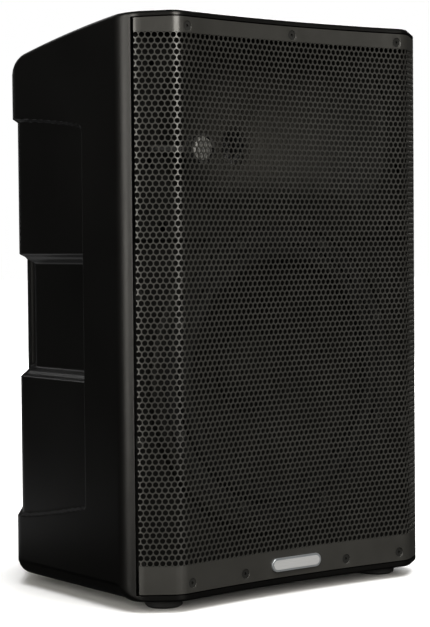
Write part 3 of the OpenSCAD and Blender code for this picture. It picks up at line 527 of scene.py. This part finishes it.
def dimple(bm, s, z):
    """Cuts a round hole in the plain band and lines it with a sunk seat for a screw."""
    n, r = 24, 3.75
    faces = [f for f in bm.faces if abs(f.calc_center_median().x - s) < r + 1.4 and f.calc_area() > 4 and
             min(v.co.z for v in f.verts) < z < max(v.co.z for v in f.verts)]
    count = {}
    for f in faces:
        for e in f.edges:
            count[e] = count.get(e, 0) + 1
    border = [e for e, c in count.items() if c == 1]
    bmesh.ops.delete(bm, geom=faces, context="FACES_ONLY")
    rings = []
    for rr, deep in ((r, 0.0), (3.55, 0.2), (3.5, 0.8), (1.7, 1.2)):
        rings.append([bm.verts.new((s + rr * math.cos(a), deep, z + rr * math.sin(a))) for a in turn(n)])
    grid_faces(bm, rings, True)
    bmesh.ops.triangle_fill(bm, use_beauty=True, edges=border + loop_edges(bm, rings[0]), normal=(0, -1, 0))
    bmesh.ops.delete(bm, geom=[e for e in bm.edges if not e.link_faces], context="EDGES")


def grille():
    """The perforated sheet in three upright strips: made flat, then bent and given its thickness."""
    mats = MAT["grille_paint"]
    for name, s0, s1 in (("grille_left", -S_MAX, -SEAM), ("grille_middle", -SEAM, SEAM),
                         ("grille_right", SEAM, S_MAX)):
        flat = grille_part(s0, s1)
        flat.verts.ensure_lookup_table()
        flat.verts.index_update()
        bm = bmesh.new()
        layers = []
        for t in (0.0, SHEET_T):
            made = []
            for v in flat.verts:
                x, d = on_sheet(v.co.x, v.co.y + t)
                z = v.co.z if v.co.z < HEIGHT - 0.1 else sheet_top(d)
                made.append(bm.verts.new(pos(x, d, z)))
            layers.append(made)
        for f in flat.faces:
            ids = [v.index for v in f.verts]
            bm.faces.new([layers[0][k] for k in ids])
            bm.faces.new([layers[1][k] for k in reversed(ids)])
        for e in flat.edges:
            if len(e.link_faces) == 1:
                a, b = e.verts[0].index, e.verts[1].index
                bm.faces.new((layers[0][a], layers[0][b], layers[1][b], layers[1][a]))
        flat.free()
        new_object(name, bm, mat=mats, smooth_angle=50, replaces=["grille"])


# ---------------------------------------------------------------- horn
HORN_Z, THROAT_Z = 345.0, 334.0
HORN_HW, HORN_HH, HORN_R = 111.0, 58.5, 50.0
THROAT_R, THROAT_D = 12.7, 78.0
PLATE_D = 20.5


def horn_ring(t, extra=0.0):
    """Points of the flare's section at t, 0 at the mouth and 1 at the throat."""
    k = (1 - t) ** 1.7
    hw = THROAT_R + (HORN_HW - THROAT_R) * k + extra
    hh = THROAT_R + (HORN_HH - THROAT_R) * (1 - t) ** 1.35 + extra
    r = min(THROAT_R + (HORN_R - THROAT_R) * (1 - t) + extra, hw, hh)
    zc = THROAT_Z + (HORN_Z - THROAT_Z) * (1 - t)
    out = []
    for cx, cz, a0 in ((hw - r, hh - r, 0), (-hw + r, hh - r, 90),
                       (-hw + r, -hh + r, 180), (hw - r, -hh + r, 270)):
        for j in range(13):
            a = math.radians(a0 + 90 * j / 12)
            out.append((cx + r * math.cos(a), zc + cz + r * math.sin(a)))
    return out


def horn():
    """The flare with its rounded mouth and the plate round it, which is cut away for the woofer."""
    bm = bmesh.new()
    rings = []
    for k in range(0, 3):
        a = math.pi / 2 * k / 3
        rings.append([bm.verts.new(pos(x, PLATE_D + 1.6 * (1 - math.cos(a)), z))
                      for x, z in horn_ring(0, 1.6 * (1 - math.sin(a)))])
    for k in range(0, 25):
        t = k / 24
        d = PLATE_D + 1.6 + (THROAT_D - PLATE_D - 1.6) * t
        rings.append([bm.verts.new(pos(x, d, z)) for x, z in horn_ring(t)])
    grid_faces(bm, rings, True)
    back = []
    for k in range(24, -1, -1):
        t = k / 24
        d = min(PLATE_D + 5 + (THROAT_D - PLATE_D - 1.6) * t, THROAT_D)
        back.append([bm.verts.new(pos(x, d, z)) for x, z in horn_ring(t, 2.6)])
    grid_faces(bm, [rings[-1]] + back, True)
    edge = [(-133.5, 263.5)]
    ring_r = 121.6
    a0 = math.asin(100.5 / ring_r)
    edge += [(-ring_r * math.cos(a), 163 + ring_r * math.sin(a)) for a in
             [a0 + (math.pi - 2 * a0) * k / 30 for k in range(31)]]
    edge += [(133.5, 263.5), (133.5, 409.2), (-133.5, 409.2)]
    front = [bm.verts.new(pos(x, PLATE_D, z)) for x, z in edge]
    rear = [bm.verts.new(pos(x, 24, z)) for x, z in edge]
    grid_faces(bm, [front, rear], True)
    for plate, hole, side in ((front, rings[0], -1), (rear, back[-1], 1)):
        both = loop_edges(bm, plate) + loop_edges(bm, hole)
        bmesh.ops.triangle_fill(bm, use_beauty=True, edges=both, normal=(0, side, 0))
    bmesh.ops.remove_doubles(bm, verts=bm.verts, dist=0.00002)
    new_object("horn_flare", bm, mat=MAT["horn_plastic"], smooth_angle=40,
               replaces=["horn_waveguide"])


# ---------------------------------------------------------------- woofer's surround and the wadding
def surround():
    """The half roll between the cone and the basket, with fine ribs round it."""
    bm = bmesh.new()
    mid, cz, n = 91.0, 163.0, 144
    prof = [(84.6, 24.0), (83.7, 24.0), (83.7, 23.1)]
    for k in range(37):
        a = math.pi * k / 36
        roll_r = 6.7 + 0.1 * math.cos(a * 12)
        prof.append((mid - roll_r * math.cos(a), 23 - roll_r * math.sin(a)))
    prof += [(98.1, 23.1), (98.1, 24.0)]
    prof += [(mid + 5.9 * math.cos(a), 24 - 5.9 * math.sin(a)) for a in [math.pi * k / 16 for k in range(17)]]
    rings = [[bm.verts.new(pos(r * math.cos(a), d, cz + r * math.sin(a))) for a in turn(n)] for r, d in prof]
    grid_faces(bm, rings + [rings[0]], True)
    bmesh.ops.remove_doubles(bm, verts=bm.verts, dist=0.00002)
    ob = new_object("surround_roll", bm, mat=MAT["surround_cloth"], smooth_angle=50,
                    replaces=["woofer_surround"])


def pad(name, lo, hi):
    """A wadding pad filling a box in millimetres: crowned, drawn in along its sides, and a little lumpy."""
    bm = bmesh.new()
    bmesh.ops.create_cube(bm, size=2.0)
    bmesh.ops.subdivide_edges(bm, edges=bm.edges[:], cuts=15, use_grid_fill=True)
    mid = [(a + b) / 2 for a, b in zip(lo, hi)]
    half = [(b - a) / 2 for a, b in zip(lo, hi)]
    thin = half.index(min(half))
    wide = [k for k in range(3) if k != thin]
    for v in bm.verts:
        u = [v.co[k] for k in range(3)]
        a, b = u[wide[0]], u[wide[1]]
        crown = 0.62 + 0.38 * (1 - abs(a) ** 3.5) * (1 - abs(b) ** 3.5)
        lump = 0.04 * math.sin(7.1 * a + 2.3 * b + lo[0]) * math.cos(5.3 * b - 1.7 * a)
        u[thin] *= min(crown + lump, 1.0)
        u[wide[0]] = a * (0.965 + 0.035 * b * b) * (1 - 0.02 * abs(u[thin]))
        u[wide[1]] = b * (0.965 + 0.035 * a * a) * (1 - 0.02 * abs(u[thin]))
        v.co = pos(*[m + h * w for m, h, w in zip(mid, half, u)])
    ob = new_object(name, bm, mat=MAT["damping_wadding"], smooth_angle=75)
    sub = ob.modifiers.new("soft", "SUBSURF")
    sub.levels = sub.render_levels = 1
    return ob


def pads():
    floor = FOOT_H + FLOOR_T
    for side, sign in (("left", -1), ("right", 1)):
        for part, x0, x1, d0, d1, z0, z1 in (("wall", 124, 136, 42, 70, 270, 395),
                                             ("floor", 45, 100, 60, 170, floor, floor + 12)):
            xs = sorted((sign * x0, sign * x1))
            ob = pad("pad_%s_%s" % (part, side), (xs[0], d0, z0), (xs[1], d1, z1))
            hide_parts("damping_pads")


# ---------------------------------------------------------------- badge and panel printing
def prism(bm, outline, d0, d1, edge=0.0):
    """A flat-backed plate in x and z with its face at d0, its edge eased by the given amount."""
    cx = sum(p[0] for p in outline) / len(outline)
    cz = sum(p[1] for p in outline) / len(outline)

    def ring(d, shrink):
        out = []
        for x, z in outline:
            m = math.hypot(x - cx, z - cz)
            out.append(bm.verts.new(pos(x - (x - cx) / m * shrink, d, z - (z - cz) / m * shrink)))
        return out
    rings = [ring(d1, 0)]
    if edge:
        step = edge if d1 > d0 else -edge
        rings += [ring(d0 + step, 0), ring(d0 + step * 0.3, edge * 0.3), ring(d0, edge)]
    else:
        rings.append(ring(d0, 0))
    grid_faces(bm, rings, True)
    bm.faces.new(rings[-1])
    bm.faces.new(rings[0])


def capsule(cx, cz, half, r, n=14):
    """Outline of a bar with round ends."""
    out = [(cx + half + r * math.cos(a), cz + r * math.sin(a)) for a in
           [-math.pi / 2 + math.pi * k / n for k in range(n + 1)]]
    out += [(cx - half + r * math.cos(a), cz + r * math.sin(a)) for a in
            [math.pi / 2 + math.pi * k / n for k in range(n + 1)]]
    return out


def badge():
    """A blank nameplate: a plate with an eased edge, and a smaller field standing 0.12 mm proud of its face."""
    lo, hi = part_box("badge")
    d0, d1 = lo.y / MM + HALF_D, hi.y / MM + HALF_D
    cz, r = (lo.z + hi.z) / 2 / MM, (hi.z - lo.z) / 2 / MM
    half = (hi.x - lo.x) / 2 / MM - r
    bm = bmesh.new()
    prism(bm, capsule(0, cz, half, r), d0, d1 + 0.2, 0.4)
    new_object("badge_plate", bm, mat=MAT["badge_metal"], smooth_angle=25,
               replaces=["badge"])
    bm = bmesh.new()
    prism(bm, capsule(0, cz, half - 0.2, r - 1.5), d0 - 0.12, d0 + 0.3, 0.1)
    new_object("badge_field", bm, mat=MAT["badge_field"], smooth_angle=25)


def bar(x0, z0, x1, z1, w):
    """Outline of a straight stroke of width w."""
    dx, dz = unit(x1 - x0, z1 - z0)
    nx, nz = -dz * w / 2, dx * w / 2
    return [(x0 + nx, z0 + nz), (x1 + nx, z1 + nz), (x1 - nx, z1 - nz), (x0 - nx, z0 - nz)]


def panel_print():
    """Fine printed strokes on the control panel: scales round the knobs and frames round the groups."""
    bm = bmesh.new()
    d1, d0 = 251.9, 252.12
    for cx, cz in ((28, 271), (-28, 271), (0, 200)):
        for k in range(11):
            a = math.radians(240 - 30 * k)
            r1 = 11.0 if k % 5 else 12.0
            prism(bm, bar(cx + 8.8 * math.cos(a), cz + 8.8 * math.sin(a), cx + r1 * math.cos(a),
                          cz + r1 * math.sin(a), 0.55), d0, d1)
    for x0, z0, x1, z1 in ((-49, 214.5, 49, 214.5), (-49, 184, 49, 184), (-49, 258, -15, 258),
                           (15, 258, 49, 258), (0, 207.5, 0, 214.5), (-44, 90, 44, 90), (-44, 46, 44, 46)):
        prism(bm, bar(x0, z0, x1, z1, 0.5), d0, d1)
    new_object("panel_print", bm, mat=MAT["print"], smooth_angle=25)


# ---------------------------------------------------------------- materials
MAT = {}


def material(name, base, rough=0.5, metal=0.0, grain=1400.0, bump=0.08, vary=0.18, rough_vary=0.08,
             blotch=14.0, stretch=(1, 1, 1), spec=0.5, coat=0.0, sheen=0.0, tone=None, split=None, alpha=1.0, emit=0.0):
    """A procedural surface: fine grain in its bump, soft blotches in its colour and gloss.

    tone tints the blotches towards a second colour. split = (axis, from and to in metres, colour beyond)."""
    m = bpy.data.materials.new(name)
    m.use_nodes = True
    nt = m.node_tree
    bsdf = nt.nodes["Principled BSDF"]
    link = nt.links.new

    def node(kind, **values):
        n = nt.nodes.new(kind)
        for k, v in values.items():
            if k in n.inputs:
                n.inputs[k].default_value = v
            else:
                setattr(n, k, v)
        return n
    coords = node("ShaderNodeTexCoord")
    mapping = node("ShaderNodeMapping")
    mapping.inputs["Scale"].default_value = stretch
    link(coords.outputs["Object"], mapping.inputs["Vector"])
    fine = node("ShaderNodeTexNoise", Scale=grain, Detail=3.0, Roughness=0.6)
    link(mapping.outputs["Vector"], fine.inputs["Vector"])
    soft = node("ShaderNodeTexNoise", Scale=blotch, Detail=4.0, Roughness=0.6)
    link(mapping.outputs["Vector"], soft.inputs["Vector"])
    bumper = node("ShaderNodeBump", Strength=bump, Distance=0.0004)
    link(fine.outputs["Fac"], bumper.inputs["Height"])
    link(bumper.outputs["Normal"], bsdf.inputs["Normal"])
    other = tone or tuple(c * (1 + vary) for c in base)
    mix = node("ShaderNodeMix", data_type="RGBA")
    mix.inputs["A"].default_value = (*[c * (1 - vary) for c in base], 1)
    mix.inputs["B"].default_value = (*other, 1)
    spread = node("ShaderNodeMapRange")
    spread.inputs["From Min"].default_value, spread.inputs["From Max"].default_value = 0.3, 0.7
    link(soft.outputs["Fac"], spread.inputs["Value"])
    link(spread.outputs["Result"], mix.inputs["Factor"])
    colour = mix.outputs["Result"]
    if split:
        axis, at, to, beyond = split
        xyz = node("ShaderNodeSeparateXYZ")
        link(coords.outputs["Object"], xyz.inputs["Vector"])
        test = node("ShaderNodeMapRange")
        test.inputs["From Min"].default_value, test.inputs["From Max"].default_value = at, to
        link(xyz.outputs[axis], test.inputs["Value"])
        pick = node("ShaderNodeMix", data_type="RGBA")
        link(test.outputs["Result"], pick.inputs["Factor"])
        link(colour, pick.inputs["A"])
        pick.inputs["B"].default_value = (*beyond, 1)
        colour = pick.outputs["Result"]
    link(colour, bsdf.inputs["Base Color"])
    rr = node("ShaderNodeMapRange")
    rr.inputs["To Min"].default_value = max(rough - rough_vary, 0.03)
    rr.inputs["To Max"].default_value = min(rough + rough_vary, 1)
    link(soft.outputs["Fac"], rr.inputs["Value"])
    link(rr.outputs["Result"], bsdf.inputs["Roughness"])
    bsdf.inputs["Metallic"].default_value = metal
    bsdf.inputs["Specular IOR Level"].default_value = spec
    bsdf.inputs["Coat Weight"].default_value = coat
    bsdf.inputs["Sheen Weight"].default_value = sheen
    bsdf.inputs["Alpha"].default_value = alpha
    if emit:
        bsdf.inputs["Emission Color"].default_value = (*base, 1)
        bsdf.inputs["Emission Strength"].default_value = emit
    MAT[name] = m
    return m


def make_materials():
    """All the surfaces, and each CAD node's own by its slot in the record."""
    material("cabinet_plastic", (0.0018, 0.00175, 0.0016), rough=0.33, grain=1700, bump=0.14,
             vary=0.1, blotch=9, spec=0.5)
    material("baffle_plastic", (0.006, 0.0059, 0.0055), rough=0.6, grain=1500, bump=0.1, spec=0.12)
    # Painted light: the split paints the flare's inner walls about twelve times lighter from 30 mm to 70 mm deep. It
    # stands in for light falling into the flare; the plate and the flare are the same black plastic.
    material("horn_plastic", (0.006, 0.0059, 0.0055), rough=0.55, grain=1200, bump=0.05, blotch=10, spec=0.12,
             split=("Y", -0.104, -0.064, (0.075, 0.073, 0.068)))
    material("trim_plastic", (0.008, 0.0078, 0.0072), rough=0.5, grain=1200, bump=0.05, spec=0.15)
    material("grille_paint", (0.033, 0.0323, 0.0296), rough=0.34, grain=2600, bump=0.1,
             vary=0.1, blotch=30, spec=0.85)
    material("black_screw", (0.022, 0.022, 0.021), rough=0.34, metal=0.15, grain=2500, bump=0.05)
    material("bright_steel", (0.55, 0.55, 0.56), rough=0.3, metal=1.0, grain=600, stretch=(1, 8, 8),
             bump=0.04)
    material("badge_metal", (0.62, 0.66, 0.70), rough=0.32, metal=0.75, grain=500, stretch=(1, 1, 14),
             bump=0.05, vary=0.06)
    material("badge_field", (0.62, 0.63, 0.645), rough=0.45, metal=0.35, grain=900, stretch=(1, 1, 10),
             bump=0.04, vary=0.05)
    material("indicator_black", (0.03, 0.03, 0.03), rough=0.5)
    material("lens_clear", (0.27, 0.27, 0.26), rough=0.35, grain=900, bump=0.03, vary=0.06, coat=0.3)
    material("circuit_board", (0.012, 0.10, 0.045), rough=0.35, grain=700, bump=0.12, vary=0.3, blotch=160,
             tone=(0.03, 0.17, 0.08), split=("Y", 0.0883, 0.0884, (0.33, 0.34, 0.35)))
    material("driver_iron", (0.05, 0.05, 0.054), rough=0.42, metal=0.3, grain=900)
    material("phase_alloy", (0.5, 0.5, 0.52), rough=0.35, metal=1.0, grain=700)
    material("diaphragm_metal", (0.7, 0.71, 0.73), rough=0.25, metal=1.0, grain=500, bump=0.03)
    material("driver_cover", (0.03, 0.03, 0.03), rough=0.5)
    material("basket_steel", (0.008, 0.008, 0.0082), rough=0.5, grain=1900, bump=0.12, spec=0.15)
    material("surround_cloth", (0.006, 0.006, 0.006), rough=0.7, grain=1100, bump=0.2, spec=0.15, sheen=0.02)
    material("cone_paper", (0.008, 0.0078, 0.0073), rough=0.85, grain=420, bump=0.35,
             vary=0.3, blotch=60, spec=0.1)
    material("cap_paper", (0.009, 0.0088, 0.0083), rough=0.85, grain=500, bump=0.2,
             vary=0.2, blotch=50, spec=0.1)
    material("coil_wire", (0.62, 0.30, 0.10), rough=0.35, metal=0.9, grain=900, stretch=(1, 12, 1), bump=0.3)
    material("spider_cloth", (0.55, 0.33, 0.10), rough=0.8, grain=1300, bump=0.35, sheen=0.1)
    material("plate_steel", (0.5, 0.5, 0.51), rough=0.34, metal=1.0, grain=500)
    material("ferrite", (0.05, 0.05, 0.053), rough=0.55, grain=1500, bump=0.2)
    material("terminal_brass", (0.7, 0.56, 0.26), rough=0.32, metal=1.0, grain=800)
    material("port_plastic", (0.022, 0.022, 0.021), rough=0.42, grain=1300, bump=0.06)
    material("damping_wadding", (0.42, 0.41, 0.38), rough=0.95, grain=260, bump=0.9,
             vary=0.2, blotch=70, sheen=0.3)
    material("panel_paint", (0.026, 0.026, 0.028), rough=0.5, grain=2200, bump=0.2, vary=0.1)
    material("heat_sink_metal", (0.02, 0.02, 0.022), rough=0.38, metal=0.6, grain=700, stretch=(1, 1, 0.1),
             bump=0.06)
    material("standoff_brass", (0.68, 0.55, 0.27), rough=0.33, metal=1.0, grain=900)
    material("transformer_core", (0.45, 0.36, 0.06), rough=0.5, grain=400, vary=0.1, tone=(0.12, 0.10, 0.08))
    material("capacitor_sleeve", (0.03, 0.045, 0.11), rough=0.3, grain=300, bump=0.03)
    material("socket_plastic", (0.022, 0.022, 0.023), rough=0.42, grain=1500, bump=0.08)
    material("latch_metal", (0.5, 0.5, 0.52), rough=0.3, metal=1.0, grain=800, stretch=(8, 1, 1))
    material("pin_metal", (0.74, 0.68, 0.5), rough=0.25, metal=1.0, grain=800)
    material("knob_rubber", (0.035, 0.035, 0.037), rough=0.62, grain=1600, bump=0.15, sheen=0.1)
    material("button_grey", (0.42, 0.42, 0.42), rough=0.45, grain=1200, bump=0.05, vary=0.06)
    material("lamp_green", (0.10, 0.42, 0.14), rough=0.25, grain=600, bump=0.03, emit=0.25)
    material("rocker_red", (0.30, 0.015, 0.012), rough=0.3, grain=900, bump=0.03, vary=0.08)
    material("cup_plastic", (0.026, 0.026, 0.026), rough=0.45, grain=1300, bump=0.1)
    material("foot_rubber", (0.018, 0.018, 0.018), rough=0.75, grain=1500, bump=0.25, vary=0.25)
    material("insert_brass", (0.16, 0.16, 0.165), rough=0.35, metal=1.0, grain=900)
    material("wire_insulation", (0.02, 0.02, 0.02), rough=0.35, grain=600, bump=0.03,
             split=("X", 0.0, 0.0001, (0.35, 0.03, 0.025)))
    material("print", (0.55, 0.55, 0.55), rough=0.6, grain=1500, bump=0.05, vary=0.08)
    for sub in frame["record"]["subparts"]:
        ob = NODES[sub["node"]]
        m = MAT[sub["material_slot"]]
        if len(ob.data.materials):
            for k in range(len(ob.data.materials)):
                ob.data.materials[k] = m
        else:
            ob.data.materials.append(m)


# ---------------------------------------------------------------- camera, light and floor
FILL = 0.012
WARM = (1, 0.965, 0.89)


def camera():
    cam = bpy.data.cameras.new("camera")
    cam.lens, cam.sensor_width = 109.03, 36.0
    cam.clip_start, cam.clip_end = 0.05, 60
    ob = bpy.data.objects.new("camera", cam)
    ob.location = (-0.92125, -1.1936, 0.2623)
    ob.rotation_euler = (math.radians(87.823), math.radians(0.51), math.radians(-38.5))
    bpy.context.scene.collection.objects.link(ob)
    bpy.context.scene.camera = ob


def area(name, at, aim, size, power, colour=(1, 1, 1), spread=180):
    data = bpy.data.lights.new(name, "AREA")
    data.shape, data.size, data.size_y = "RECTANGLE", size[0], size[1]
    data.energy, data.color, data.spread = power, colour, math.radians(spread)
    ob = bpy.data.objects.new(name, data)
    ob.location = at
    ob.rotation_euler = (Vector(aim) - Vector(at)).to_track_quat("-Z", "Y").to_euler()
    bpy.context.scene.collection.objects.link(ob)
    return ob


def sun(name, direction, angle, strength):
    data = bpy.data.lights.new(name, "SUN")
    data.angle, data.energy = math.radians(angle), strength
    ob = bpy.data.objects.new(name, data)
    ob.rotation_euler = Vector(direction).to_track_quat("Z", "Y").to_euler()
    bpy.context.scene.collection.objects.link(ob)
    return ob


def stage():
    """White floor disc and a world that is white to the camera and nearly dark to the object."""
    bm = bmesh.new()
    n = 64
    rings = [[bm.verts.new((r * math.cos(a), r * math.sin(a), 0)) for a in turn(n)]
             for r in (0.5, 1.5, 4.0, 12.0)]
    grid_faces(bm, rings, True)
    bm.faces.new(rings[0])
    mesh = bpy.data.meshes.new("floor")
    bm.to_mesh(mesh)
    bm.free()
    floor = bpy.data.objects.new("floor", mesh)
    bpy.context.scene.collection.objects.link(floor)
    m = material("floor_white", (0.88, 0.88, 0.88), rough=0.8, grain=300, bump=0.0, vary=0.01, spec=0.1)
    floor.data.materials.append(m)
    floor.visible_glossy = floor.visible_diffuse = False
    world = bpy.data.worlds.new("studio")
    bpy.context.scene.world = world
    world.use_nodes = True
    nt = world.node_tree
    nt.nodes.clear()
    out = nt.nodes.new("ShaderNodeOutputWorld")
    mix = nt.nodes.new("ShaderNodeMixShader")
    rays = nt.nodes.new("ShaderNodeLightPath")
    fill, white = nt.nodes.new("ShaderNodeBackground"), nt.nodes.new("ShaderNodeBackground")
    fill.inputs["Color"].default_value = (1, 1, 1, 1)
    fill.inputs["Strength"].default_value = FILL
    white.inputs["Color"].default_value = (1, 1, 1, 1)
    white.inputs["Strength"].default_value = 1.0
    nt.links.new(rays.outputs["Is Camera Ray"], mix.inputs["Fac"])
    nt.links.new(fill.outputs[0], mix.inputs[1])
    nt.links.new(white.outputs[0], mix.inputs[2])
    nt.links.new(mix.outputs[0], out.inputs["Surface"])
    bpy.context.scene.view_settings.view_transform = "Standard"


camera()
make_materials()
stage()
sun("sky", (0.05, -0.1, 1), 60, 4.6).visible_glossy = False
area("left", (-2.0, -1.0, 0.8), (0, 0, 0.2), (0.5, 1.7), 24, WARM)
area("side", (-2.3, 0.1, 0.7), (0, 0, 0.2), (0.45, 1.7), 15, WARM)
area("front", (0.1, -2.4, 1.1), (-0.1, -0.1, 0.3), (0.7, 1.6), 40, WARM)
area("behind", (-0.28, 2.4, 0.5), (-0.14, 0, 0.22), (0.12, 1.6), 0.55)
area("behind_low", (-0.15, 0.5, 0.004), (-0.15, 0.5, 1), (0.35, 0.6), 0.17).visible_camera = False
area("behind_top", (-0.2, 1.9, 1.6), (-0.1, 0, 0.3), (0.5, 0.5), 1.4)
area("back", (1.7, 1.7, 1.3), (0.05, 0.05, 0.2), (1.2, 1.2), 45)
shell()
grille()
horn()
surround()
pads()
badge()
panel_print()
